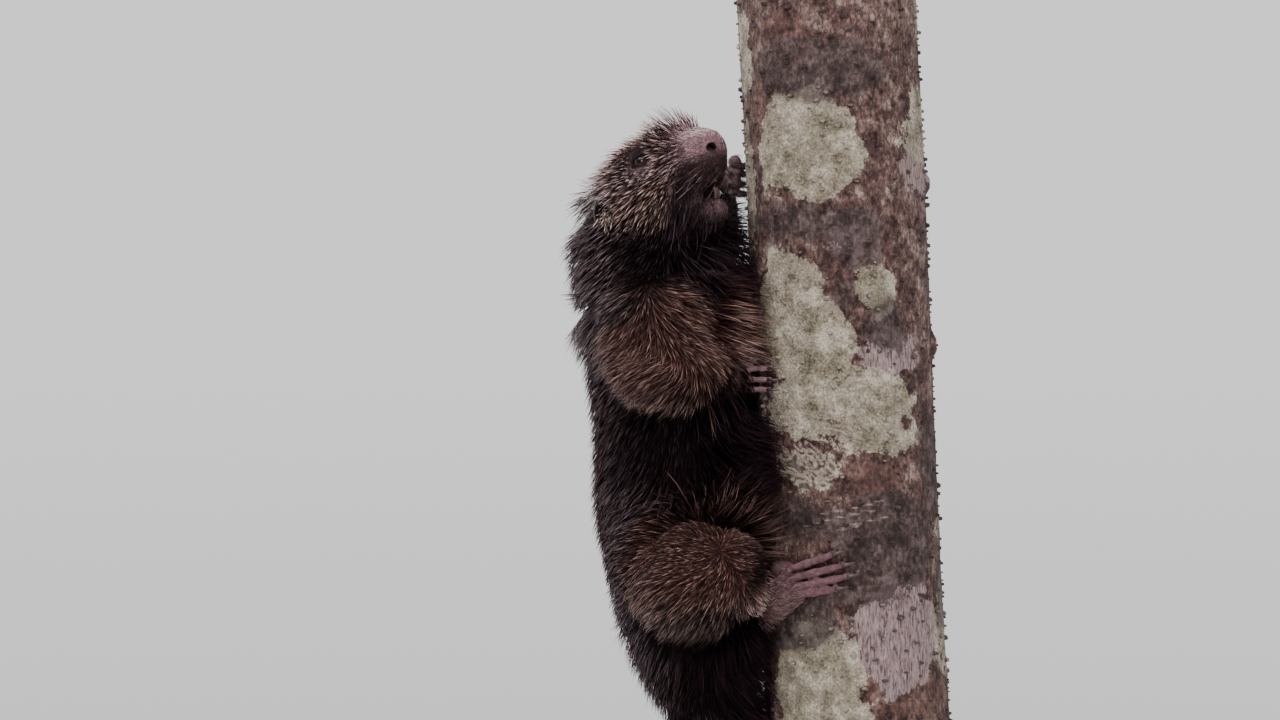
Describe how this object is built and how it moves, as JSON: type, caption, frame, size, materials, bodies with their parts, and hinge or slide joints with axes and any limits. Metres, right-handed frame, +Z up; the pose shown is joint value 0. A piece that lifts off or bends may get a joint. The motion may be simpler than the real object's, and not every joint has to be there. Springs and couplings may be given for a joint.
{
  "type": "thin-spined porcupine",
  "caption": "Life-size still porcupine with bristly spines, head raised and tail hanging, clinging to a cut tree trunk on a plain display stand.",
  "frame": {"origin": "centre of the underside of the display stand's base, on the floor", "axes": "+Z up along the trunk; +X from the animal's side of the trunk to the far side; -Y towards the viewer, the animal's right side"},
  "size_m": [0.33, 0.23, 0.752],
  "materials": {
    "coat": "dark brown bristly spines with paler tips over short brown hair",
    "skin": "bare greyish pink skin with fine creases",
    "scales": "dark scaly tail skin with short bristles",
    "eye": "wet dark brown eye",
    "bark": "smooth grey-brown bark with pale lichen and small lenticels",
    "base": "dark stained wood, satin lacquer",
    "rod": "brushed steel"
  },
  "bodies": {
    "root": {"stand_base": "base", "stand_rod_left": "rod", "stand_rod_right": "rod", "perch_trunk": "bark", "head": "coat", "ear_right": "skin", "ear_left": "skin", "eye_right": "eye", "eye_left": "eye", "neck": "coat", "torso_chest": "coat", "torso_belly": "coat", "torso_rump": "coat", "upper_arm_right": "coat", "forearm_right": "coat", "hand_right": "skin", "upper_arm_left": "coat", "forearm_left": "coat", "hand_left": "skin", "thigh_right": "coat", "shin_right": "coat", "foot_right": "skin", "thigh_left": "coat", "shin_left": "coat", "foot_left": "skin", "tail_base": "coat", "tail_middle": "scales", "tail_tip": "scales"}
  },
  "joints": []
}
